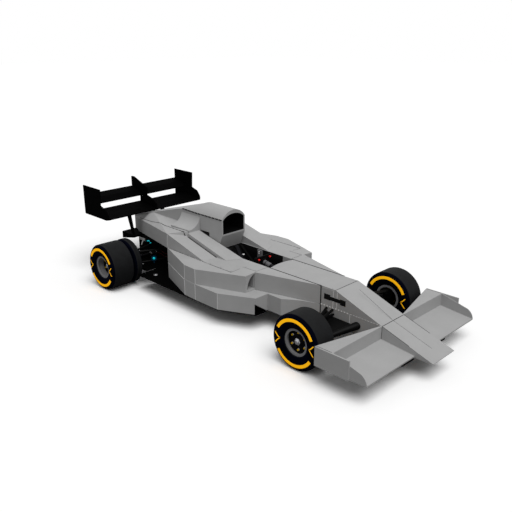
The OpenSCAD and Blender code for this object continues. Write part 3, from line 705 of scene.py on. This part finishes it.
powder = sprayed("black_powder_coat", 0.5, "#040404", "#080808", 40.0, 700.0, 0.0004,
                 specular=0.08)
dress(powder, "front_arms_right", "front_arms_left", "rear_arms")
oiled = sprayed("oiled_dark_steel", 0.45, "#141416", "#1E1E21", 50.0, 500.0, 0.0003, metallic=1.0)
dress(oiled, "rear_uprights", "driveshafts", "steering_rack", "front_knuckle_right",
      "front_knuckle_left")

# ---------------------------------------------------------------------------
# Engine, gearbox and radiators: cast alloy sprayed black, its grain left by the sand of
# the mould; the radiator cores are rows of thin black fins.
# ---------------------------------------------------------------------------

cast_alloy = sprayed("sand_cast_black", 0.65, "#040405", "#09090A", 25.0, 260.0, 0.0008,
                     specular=0.06)
dress(cast_alloy, "engine", "gearbox", "radiators")

# ---------------------------------------------------------------------------
# Cockpit: a black moulded bucket with a steering wheel of rubber grips on a plate.
# ---------------------------------------------------------------------------

cockpit_black = sprayed("moulded_black_trim", 0.7, "#030303", "#070707", 20.0, 500.0, 0.0004,
                        specular=0.06)
dress(cockpit_black, "seat", "steering_wheel")


def loft(rings, closed=True, caps=True):
    """A skin over rings of points that all have the same count."""
    verts = [Vector(v) for ring in rings for v in ring]
    count = len(rings[0])
    faces = []
    for i in range(len(rings) - 1):
        for k in range(count if closed else count - 1):
            n = (k + 1) % count
            a, b = i * count, (i + 1) * count
            faces.append((a + k, a + n, b + n, b + k))
    if caps:
        last = (len(rings) - 1) * count
        faces += [tuple(reversed(range(count))), tuple(last + k for k in range(count))]
    return verts, faces


def tube(points, radii, sides=20):
    """A round bar or hose through points, with one radius or one for each."""
    points = [Vector(p) for p in points]
    if not hasattr(radii, "__len__"):
        radii = [radii] * len(points)
    ahead = (points[1] - points[0]).normalized()
    side = ahead.orthogonal().normalized()
    rings = []
    for i, p in enumerate(points):
        ahead = (points[min(i + 1, len(points) - 1)] - points[max(i - 1, 0)]).normalized()
        side = (side - ahead * side.dot(ahead)).normalized()
        other = ahead.cross(side)
        rings.append([p + (side * math.cos(2 * math.pi * k / sides)
                           + other * math.sin(2 * math.pi * k / sides)) * radii[i]
                      for k in range(sides)])
    return loft(rings)


def curved(points, steps=8):
    """More points along a smooth line through a few."""
    points = [Vector(p) for p in points]
    points = [2 * points[0] - points[1]] + points + [2 * points[-1] - points[-2]]
    out = []
    for a, b, c, d in zip(points, points[1:], points[2:], points[3:]):
        for i in range(steps):
            t = i / steps
            out.append(0.5 * ((2 * b) + (c - a) * t + (2 * a - 5 * b + 4 * c - d) * t ** 2
                              + (3 * b - a - 3 * c + d) * t ** 3))
    return out + [points[-2]]


# --- lining: black foam-backed cloth round the walls behind the steering wheel
cockpit_cloth, tree, shader, place = finish_of("black_flame_proof_cloth", 0.9, specular=0.05)
weave = add_node(tree, "ShaderNodeTexChecker", {"Vector": place, "Scale": 700.0})
woven(tree, shader, weave, "#040404", "#080808", 0.3, 0.0003)

wall_y_in = 0.1776
back_x, front_x = -0.4096, 0.236
path = [(front_x - (front_x - back_x) * i / 24, -wall_y_in) for i in range(25)]
path += [(back_x, -wall_y_in + 2 * wall_y_in * i / 14) for i in range(1, 14)]
path += [(back_x + (front_x - back_x) * i / 24, wall_y_in) for i in range(25)]
rings = []
for i, (x, y) in enumerate(path):
    on_back = 25 <= i < 38
    inwards = Vector((1, 0, 0)) if on_back else Vector((0, -math.copysign(1, y), 0))
    if i in (24, 38):
        inwards = Vector((1, -math.copysign(1, y), 0)).normalized()
    swell = 0.0012 + 0.0012 * abs(math.sin(i * math.pi / 6))
    p = Vector((x, y, 0))
    z0, z1 = belly + 0.027, deck - 0.001
    ring = [p + Vector((0, 0, z0)), p + Vector((0, 0, z1))]
    ring += [p + inwards * swell + Vector((0, 0, z1 - (z1 - z0) * k / 4)) for k in range(5)]
    rings.append(ring)
make_piece("cockpit_lining", loft(rings), cockpit_cloth, "chassis", smooth=True)


def pad(profile, half, thick, channels):
    """A quilted pad over a profile of (x, z) points that runs along the middle of the car."""
    line = []
    for (xa, za), (xb, zb) in zip(profile, profile[1:]):
        line += [Vector((xa + (xb - xa) * i / 12, 0, za + (zb - za) * i / 12)) for i in range(12)]
    line.append(Vector((profile[-1][0], 0, profile[-1][1])))
    top, under = [], []
    across = 24
    for i, p in enumerate(line):
        ahead = (line[min(i + 1, len(line) - 1)] - line[max(i - 1, 0)]).normalized()
        up = Vector((ahead.z, 0, -ahead.x))
        up = up if up.z > 0 else -up
        v = i / (len(line) - 1)
        for k in range(across + 1):
            u = 2 * k / across - 1
            rise = (1 - abs(u) ** 8) * (1 - abs(2 * v - 1) ** 12)
            quilt = 0.78 + 0.22 * abs(math.sin(channels * math.pi * v)) ** 0.5
            y = Vector((0, u * half, 0))
            top.append(p + y + up * (0.0012 + thick * quilt * max(0.0, rise) ** 0.5))
            under.append(p + y + up * 0.0006)
    rings = [top[i * (across + 1):(i + 1) * (across + 1)]
             + list(reversed(under[i * (across + 1):(i + 1) * (across + 1)]))
             for i in range(len(line))]
    return loft(rings)


make_piece("seat_cushion",
                     pad([(0.152, 0.2705), (0.046, 0.2555), (-0.112, 0.2635)], 0.117, 0.016, 5),
                     cockpit_cloth, "chassis", smooth=True)
make_piece("seat_back_pad",
                     pad([(-0.137, 0.2775), (-0.264, 0.3825), (-0.374, 0.5275)], 0.117, 0.016, 6),
                     cockpit_cloth, "chassis", smooth=True)

# --- harness: 45 mm polyester webbing with forged alloy buckle and adjusters
webbing, tree, shader, place = finish_of("dark_grey_webbing", 0.85, specular=0.1)
weave = add_node(tree, "ShaderNodeTexWave", {"Vector": place, "Scale": 160.0, "Distortion": 0.4})
woven(tree, shader, weave, "#101012", "#1C1C1F", 0.4, 0.0005)
satin_alloy = sprayed("satin_alloy", 0.35, "#A8A8AA", "#BCBCBE", 60.0, 500.0, 0.0002, metallic=1.0)


def strap(points, width, flat_to):
    """Flat webbing along a line, its width kept in one direction."""
    line = curved(points)
    across = Vector(flat_to).normalized() * width / 2
    rings = []
    for i, p in enumerate(line):
        ahead = (line[min(i + 1, len(line) - 1)] - line[max(i - 1, 0)]).normalized()
        up = ahead.cross(across).normalized() * 0.0011
        rings.append([p - across - up, p + across - up, p + across + up, p - across + up])
    return loft(rings)


straps, metal = [], []
for side in (1, -1):
    straps.append(strap([(-0.392, side * 0.062, 0.5475), (-0.356, side * 0.062, 0.5395),
                         (-0.300, side * 0.060, 0.4600), (-0.236, side * 0.055, 0.3790),
                         (-0.160, side * 0.046, 0.3180), (-0.104, side * 0.026, 0.2890)],
                        0.044, (0, 1, 0)))
    straps.append(strap([(-0.150, side * 0.1155, 0.3050), (-0.128, side * 0.092, 0.2960),
                         (-0.100, side * 0.050, 0.2900), (-0.086, side * 0.022, 0.2880)],
                        0.044, (0.9, 0, 0.25)))
    metal.append(slab((-0.262, side * 0.055 - 0.027, 0.4130),
                      (-0.232, side * 0.055 + 0.027, 0.4190), 0.002))
straps.append(strap([(0.020, 0.0, 0.2720), (-0.030, 0.0, 0.2790), (-0.074, 0.0, 0.2850)], 0.040,
                    (0, 1, 0)))
make_piece("harness_webbing", joined(straps), webbing, "chassis")
buckle = tube([(-0.086, 0, 0.286), (-0.086, 0, 0.292), (-0.086, 0, 0.300), (-0.086, 0, 0.303)],
              [0.034, 0.034, 0.030, 0.022], 28)
metal.append(buckle)
for i in range(4):
    a = math.pi / 4 + i * math.pi / 2
    spot = Vector((-0.086 + 0.020 * math.cos(a), 0.020 * math.sin(a), 0.302))
    metal.append(tube([spot, spot + Vector((0, 0, 0.0045))], [0.0045, 0.0035], 10))
make_piece("harness_metal", joined(metal), satin_alloy, "chassis")

# --- steering wheel: a machined plate with moulded grips, a screen, knobs, red levers
grip_rubber = sprayed("moulded_grip_rubber", 0.8, "#040404", "#0A0A0A", 60.0, 900.0, 0.0006,
                      specular=0.06)
red_plastic = sprayed("red_anodised", 0.4, "#D61A14", "#EE2A20", 60.0, 500.0, 0.0001, specular=0.5)
grey_plastic = sprayed("mid_grey_moulding", 0.6, "#5E5E60", "#6C6C6E", 60.0, 500.0, 0.0003,
                       specular=0.2)
white_plastic = sprayed("white_moulding", 0.5, "#E4E4E4", "#F2F2F2", 60.0, 500.0, 0.0002,
                        specular=0.3)
screen_glass = sprayed("screen_glass", 0.1, "#05070A", "#0A0E14", 60.0, 100.0, 0.0, specular=0.5)

hub = behind(1190, 0.0, deck - 0.042)
lean = math.radians(78)
wheel_up = Vector((math.cos(lean), 0, math.sin(lean)))
wheel_back = Vector((-math.sin(lean), 0, math.cos(lean)))


def at_wheel(across, up, back):
    """A point measured from the steering wheel's centre, in its own plane."""
    return hub + Vector((0, across, 0)) + wheel_up * up + wheel_back * back


def wheel_bar(across, up, back, size, chamfer=0.003):
    """A chamfered bar in the steering wheel's plane; back is its two faces."""
    w, h = size[0] / 2, size[1] / 2
    rings = []
    near, far = back
    d = chamfer if far > near else -chamfer
    for inset, depth in ((chamfer, near), (0, near + d), (0, far - d), (chamfer, far)):
        a, b = w - inset, h - inset
        rings.append([at_wheel(across + p, up + q, depth)
                      for p, q in ((-a, -b), (a, -b), (a, b), (-a, b))])
    return loft(rings)


plate = [wheel_bar(0, 0, (-0.007, 0.007), (0.108, 0.104)),
         wheel_bar(0, 0.0555, (-0.0065, 0.0065), (0.222, 0.019)),
         wheel_bar(0, -0.0555, (-0.0065, 0.0065), (0.222, 0.019)),
         wheel_bar(0, 0.0, (-0.020, -0.006), (0.070, 0.070)),
         wheel_bar(0.082, 0.030, (-0.026, -0.021), (0.052, 0.034)),
         wheel_bar(-0.082, 0.030, (-0.026, -0.021), (0.052, 0.034))]
made = make_piece("wheel_plate", joined(plate), cockpit_black, "steering_wheel")
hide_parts("steering_wheel")
grips = []
for side in (1, -1):
    line = [at_wheel(side * (0.114 + 0.001 * math.sin(i / 3)), -0.069 + 0.138 * i / 24, 0.0)
            for i in range(25)]
    radii = [0.0135 * min(1.0, 0.55 + 0.25 * min(i, 24 - i))
             + 0.0010 * abs(math.sin(i * math.pi / 6)) for i in range(25)]
    grips.append(tube(line, radii, 20))
make_piece("wheel_grips", joined(grips),
           grip_rubber, "steering_wheel", smooth=True)
make_piece("wheel_screen", wheel_bar(0, 0.022, (0.0065, 0.0095), (0.066, 0.036), 0.001),
           screen_glass, "steering_wheel")
reds = [wheel_bar(side * 0.082, 0.041, (-0.030, -0.010), (0.020, 0.014), 0.002)
        for side in (1, -1)]
reds += [tube([at_wheel(x, -0.012, 0.0065), at_wheel(x, -0.012, 0.011)], [0.0055, 0.0045], 14)
         for x in (-0.042, 0.042)]
make_piece("wheel_red_controls", joined(reds), red_plastic, "steering_wheel")
knobs = [tube([at_wheel(x, -0.030, back) for back in (0.0065, 0.016, 0.018)],
              [0.0085, 0.0075, 0.005], 18) for x in (-0.034, 0.0, 0.034)]
knobs.append(tube([at_wheel(0, 0, -0.024), at_wheel(0, 0, -0.030), at_wheel(0, 0, -0.050),
                   at_wheel(0, 0, -0.056)], [0.019, 0.0265, 0.0265, 0.021], 28))
knobs.append(tube([at_wheel(0, 0, -0.062), at_wheel(0, 0, -0.066), at_wheel(0, 0, -0.118),
                   at_wheel(0, 0, -0.122)], [0.0245, 0.0265, 0.0265, 0.0245], 28))
make_piece("wheel_boss_and_knobs", joined(knobs), grey_plastic, "steering_wheel")
make_piece("wheel_column",
           tube([at_wheel(0, 0, -0.018), at_wheel(0, 0, -0.16), at_wheel(0, 0, -0.328)],
                [0.0238, 0.0240, 0.0240], 28),
           oiled, "steering_wheel")

# --- small controls on the cockpit's walls and dash
box_parts = [slab((-0.124, 0.1755, 0.448), (-0.061, 0.1490, 0.539), 0.004),
             slab((-0.110, 0.1500, 0.462), (-0.075, 0.1440, 0.490), 0.002)]
make_piece("switch_box", joined(box_parts), grey_plastic, "chassis")
whites = [tube([(-0.092, 0.1495, z), (-0.092, 0.1400, z)], [0.006, 0.005], 12)
          for z in (0.505, 0.522)]
whites += [slab((-0.196, -0.012, 0.5040), (-0.176, 0.012, 0.5085), 0.001)]
make_piece("white_tabs", joined(whites), white_plastic, "chassis")
dash_x = behind(934, 0, 0).x
dials = []
for y in (-0.085, 0.085):
    dials.append(tube([(dash_x - 0.0005, y, 0.470), (dash_x - 0.012, y, 0.470),
                       (dash_x - 0.014, y, 0.470)], [0.032, 0.032, 0.028], 28))
for i in range(6):
    y = -0.10 + 0.04 * i
    dials.append(tube([(dash_x - 0.0005, y, 0.405), (dash_x - 0.006, y, 0.405),
                       (dash_x - 0.020, y, 0.409)], [0.006, 0.0045, 0.003], 10))
make_piece("dash_dials", joined(dials), grey_plastic, "chassis")

# --- duct behind the intake's mouth: a black moulded liner that ends in a filter face
arch_half, arch_low, arch_top = 0.171, 0.893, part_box("airbox")[1].z
arch_rise = arch_top - arch_low
arch_r = (arch_half ** 2 + arch_rise ** 2) / (2 * arch_rise)
arch_edge = math.asin(arch_half / arch_r)
throat = []
for i in range(-12, 13):
    a = arch_edge * i / 12
    z = arch_top - arch_r + arch_r * math.cos(a)
    throat.append(Vector((0, arch_r * math.sin(a) * 0.155 / arch_half,
                          0.887 + (z - arch_low) * (arch_rise - 0.034) / arch_rise)))
throat += [Vector((0, 0.155 - 0.031 * i, 0.729)) for i in range(11)]
centre = Vector((0, 0, 0.83))


def throat_ring(x, inset):
    """The throat's outline at x, drawn in from its walls."""
    return [Vector((x, 0, 0)) + p + (centre - p).normalized() * inset for p in throat]


mouth_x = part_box("airbox")[1].x
duct_back = mouth_x - 0.4185
rings = [throat_ring(mouth_x - 0.003, 0.0008), throat_ring(duct_back, 0.0008),
         throat_ring(duct_back, 0.090), throat_ring(duct_back + 0.012, 0.086)]
for i in range(15):
    x = duct_back + 0.014 + (mouth_x - 0.006 - duct_back - 0.014) * i / 14
    rings.append(throat_ring(x, 0.0045 if i % 2 else 0.0030))
rings.append(throat_ring(mouth_x - 0.003, 0.0026))
make_piece("intake_duct", loft(rings + [rings[0]], caps=False),
           cockpit_black, "chassis")
filter_rings = [throat_ring(duct_back + 0.002, 0.088), throat_ring(duct_back + 0.010, 0.088),
                throat_ring(duct_back + 0.014, 0.098)]
make_piece("intake_filter", loft(filter_rings), cockpit_cloth, "chassis")

# ---------------------------------------------------------------------------
# Rear bay: black pressed heat shields beside the gearbox, laminate shelves that carry the
# floor out to the wheels, and the small hoses, unions and lens cups clipped to them. The
# glow of the unions and lenses is a painted highlight.
# ---------------------------------------------------------------------------

shield_black = sprayed("black_heat_shield", 0.8, "#020203", "#050506", 30.0, 260.0, 0.0006,
                       specular=0.01)
shield_front, shield_back = -1.052, -1.852
rings = []
for k in range(41):
    x = shield_front + (shield_back - shield_front) * k / 40
    rib = 0.0045 if k % 5 in (2, 3) else 0.0
    skin_y = 0.2290 + rib
    rings.append([Vector((x, 0.214, 0.1895)), Vector((x, skin_y, 0.1895)),
                  Vector((x, skin_y, 0.3850)), Vector((x, skin_y - 0.003, 0.3890)),
                  Vector((x, 0.214, 0.3890)), Vector((x, 0.214, 0.3865)),
                  Vector((x, skin_y - 0.0025, 0.3840)), Vector((x, skin_y - 0.0025, 0.1920))])
make_piece("bay_heat_shields", joined(mirrored([loft(rings)])),
           shield_black, "chassis")

# shelves beside the wheels, each with its outer edge turned up, clear of the uprights
shelves = []
for x_from, x_to in ((-1.236, -1.440), (-1.570, -1.742)):
    rings = []
    for k in range(13):
        x = x_from + (x_to - x_from) * k / 12
        rise = 0.0012 * abs(math.sin(k * math.pi / 4))
        rings.append([Vector((x, 0.4390, 0.1770)), Vector((x, 0.5680, 0.1770)),
                      Vector((x, 0.5730, 0.1800)), Vector((x, 0.5745, 0.2040)),
                      Vector((x, 0.5715, 0.2040)), Vector((x, 0.5690, 0.1850)),
                      Vector((x, 0.5000, 0.1845 + rise)), Vector((x, 0.4390, 0.1855))])
    shelves.append(loft(rings))
make_piece("floor_shelves", joined(mirrored(shelves)), laminate, "chassis")

# folded rubber boots where the shafts pass the shields, held by band clamps
boots, clamps = [], []
shaft = middle("driveshafts")
folds = [Vector((shaft.x, 0.236 + 0.0065 * k, shaft.z)) for k in range(11)]
boots.append(tube(folds, [0.034 - 0.0010 * k - (0.006 if k % 2 else 0.0) for k in range(11)], 24))
for y, r in ((0.2350, 0.0355), (0.3030, 0.0255)):
    clamps.append(tube([Vector((shaft.x, y + d, shaft.z)) for d in (0, 0.001, 0.009, 0.010)],
                       [r - 0.001, r, r, r - 0.001], 24))
make_piece("driveshaft_boots", joined(mirrored(boots)), bung, "chassis")
# tie-down eye on the floor's rear corner
eye_x, eye_y, eye_r = -1.036, 0.580, 0.020
ring = [Vector((eye_x + eye_r * math.cos(2 * math.pi * k / 20),
                eye_y + eye_r * math.sin(2 * math.pi * k / 20), 0.1895)) for k in range(21)]
clamps.append(tube(ring, 0.0040, 10))
clamps.append(tube([(eye_x, eye_y, z) for z in (0.1860, 0.1930, 0.1960)], [0.0100, 0.0100, 0.0070],
                   12))
make_piece("bay_clamps", joined(mirrored(clamps)), satin_alloy, "chassis")

pale_grey = sprayed("pale_grey_bracket", 0.6, "#8A8A8A", "#989898", 40.0, 500.0, 0.0003,
                    specular=0.2)
brackets = [slab((-1.842, 0.2285, 0.3560), (-1.712, 0.2385, 0.3880), 0.003),
            tube([(-1.745, 0.234, 0.372), (-1.700, 0.290, 0.352), (-1.672, 0.318, 0.340)],
                 [0.0070, 0.0070, 0.0050], 12)]
make_piece("bay_brackets", joined(mirrored(brackets)), pale_grey, "chassis")

# cyan hose unions and small cyan lenses; their glow is a painted highlight, not a lamp
cyan, tree, shader, place = finish_of("cyan_union_painted_glow", 0.4, specular=0.4)
mottle(tree, shader, place, "#14C8D8", "#20DCEC", 60.0, 500.0, 0.0001)
shader.inputs["Emission Color"].default_value = rgba("#18D4E4")
shader.inputs["Emission Strength"].default_value = 0.35
unions = []
for x, z, turn in ((-1.652, 0.377, 0.3), (-1.622, 0.383, -0.2), (-1.594, 0.364, 0.6)):
    unions.append(tube([(x - 0.010, 0.2345, z - turn * 0.01), (x, 0.2420, z),
                        (x + 0.012, 0.2400, z + turn * 0.01)], [0.0050, 0.0062, 0.0045], 10))
# lamp here marks the glowing cyan lens, whose glow is a painted highlight
lamp, glow_axis = Vector((-1.380, 0.350, 0.249)), Vector((0.004, 0.003, 0))
unions.append(tube([lamp + glow_axis * far for far in (2, 4, 5)], [0.0150, 0.0130, 0.0060], 20))
make_piece("cyan_fittings", joined(mirrored(unions)), cyan, "chassis")
# deep blue cup and stem round each cyan lens; the blue paints a halo round that highlight
deep_blue = sprayed("deep_blue_painted_halo", 0.5, "#022A3E", "#033850", 60.0, 500.0, 0.0002,
                    specular=0.1)
foot = lamp - glow_axis
cups = [tube([lamp + glow_axis * far for far in (-2.5, 0, 2)], [0.018, 0.032, 0.036], 24),
        tube([foot - Vector((0, 0, 0.020)), Vector((foot.x, foot.y, 0.1855))], [0.006, 0.009], 12)]
make_piece("lens_cups_painted_halo", joined(mirrored(cups)), deep_blue, "chassis")

dark_red = sprayed("dark_red_hose", 0.6, "#3A0606", "#4C0A0A", 60.0, 500.0, 0.0002, specular=0.1)
hoses = []
for drop in (0.0, 0.040):
    hoses.append(tube(curved([(-1.120, 0.238, 0.330 - drop), (-1.300, 0.240, 0.300 - drop),
                              (-1.420, 0.239, 0.316 - drop), (-1.620, 0.238, 0.250 - drop / 2)]),
                      0.0032, 10))
make_piece("red_hoses", joined(mirrored(hoses)), dark_red, "chassis", smooth=True)

# ---------------------------------------------------------------------------
# Front wing lips: round laminate bars bonded under the leading edge, close to the nose.
# They stiffen the edge and take the knocks.
# ---------------------------------------------------------------------------

lip_x, lip_z = 2.0795, 0.1730
lip = [tube([(lip_x, y, lip_z) for y in (0.1765, 0.1800, 0.3450, 0.3540)],
            [0.0095, 0.0120, 0.0120, 0.0080], 20)]
make_piece("front_wing_lips", joined(mirrored(lip)), laminate, "chassis")

# ---------------------------------------------------------------------------
# Studio: a pale floor, an even sky, one broad lamp high in front, and the camera.
# ---------------------------------------------------------------------------

world = bpy.data.worlds.new("studio_sky")
bpy.context.scene.world = world
world.use_nodes = True
tree = world.node_tree
tree.nodes.clear()
path = add_node(tree, "ShaderNodeLightPath")
seen = add_node(tree, "ShaderNodeMath", {0: path.outputs["Is Camera Ray"],
                                         1: path.outputs["Is Glossy Ray"]}, operation="MAXIMUM")
seen = add_node(tree, "ShaderNodeMath", {0: seen.outputs[0],
                                         1: path.outputs["Is Transmission Ray"]},
                operation="MAXIMUM")
strength = add_node(tree, "ShaderNodeMapRange",
                    {"Value": seen.outputs[0], "To Min": 0.30, "To Max": 1.0})
sky = add_node(tree, "ShaderNodeBackground", {"Color": (1, 1, 1, 1),
                                              "Strength": strength.outputs["Result"]})
add_node(tree, "ShaderNodeOutputWorld", {"Surface": sky.outputs["Background"]})

floor_material = bpy.data.materials.new("studio_floor")
floor_material.use_nodes = True
tree = floor_material.node_tree
tree.nodes.clear()
path = add_node(tree, "ShaderNodeLightPath")
tone = add_node(tree, "ShaderNodeMix", {0: path.outputs["Is Camera Ray"],
                                        6: (0.25, 0.25, 0.25, 1), 7: (1.12, 1.12, 1.12, 1)},
                data_type="RGBA")
skin = add_node(tree, "ShaderNodeBsdfDiffuse", {"Color": tone.outputs[2]})
add_node(tree, "ShaderNodeOutputMaterial", {"Surface": skin.outputs["BSDF"]})
mesh = bpy.data.meshes.new("studio_floor")
size = 60.0
mesh.from_pydata([(-size, -size, 0), (size, -size, 0), (size, size, 0), (-size, size, 0)], [],
                 [(0, 1, 2, 3)])
mesh.materials.append(floor_material)
studio_floor = bpy.data.objects.new("studio_floor", mesh)
bpy.context.scene.collection.objects.link(studio_floor)
studio_floor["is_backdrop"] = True

lamp = bpy.data.lights.new("broad_lamp", "SUN")
lamp.energy = 2.2
lamp.angle = math.radians(50)
sun = bpy.data.objects.new("broad_lamp", lamp)
sun.rotation_mode = "QUATERNION"
sun.rotation_quaternion = Vector((-0.42, 0.19, -0.89)).to_track_quat("-Z", "Y")
bpy.context.scene.collection.objects.link(sun)

camera_data = bpy.data.cameras.new("camera")
camera_data.sensor_width = 36.0
camera_data.lens = 43.456
camera = bpy.data.objects.new("camera", camera_data)
camera.location = (4.4407, -4.4336, 2.7661)
camera.rotation_mode = "QUATERNION"
pitch = math.radians(19.587)
aim = Vector((-math.cos(pitch) * math.sin(math.pi / 4), math.cos(pitch) * math.cos(math.pi / 4),
              -math.sin(pitch)))
camera.rotation_quaternion = aim.to_track_quat("-Z", "Y")
bpy.context.scene.collection.objects.link(camera)
bpy.context.scene.camera = camera

bpy.context.scene.view_settings.view_transform = "Standard"

low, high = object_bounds()
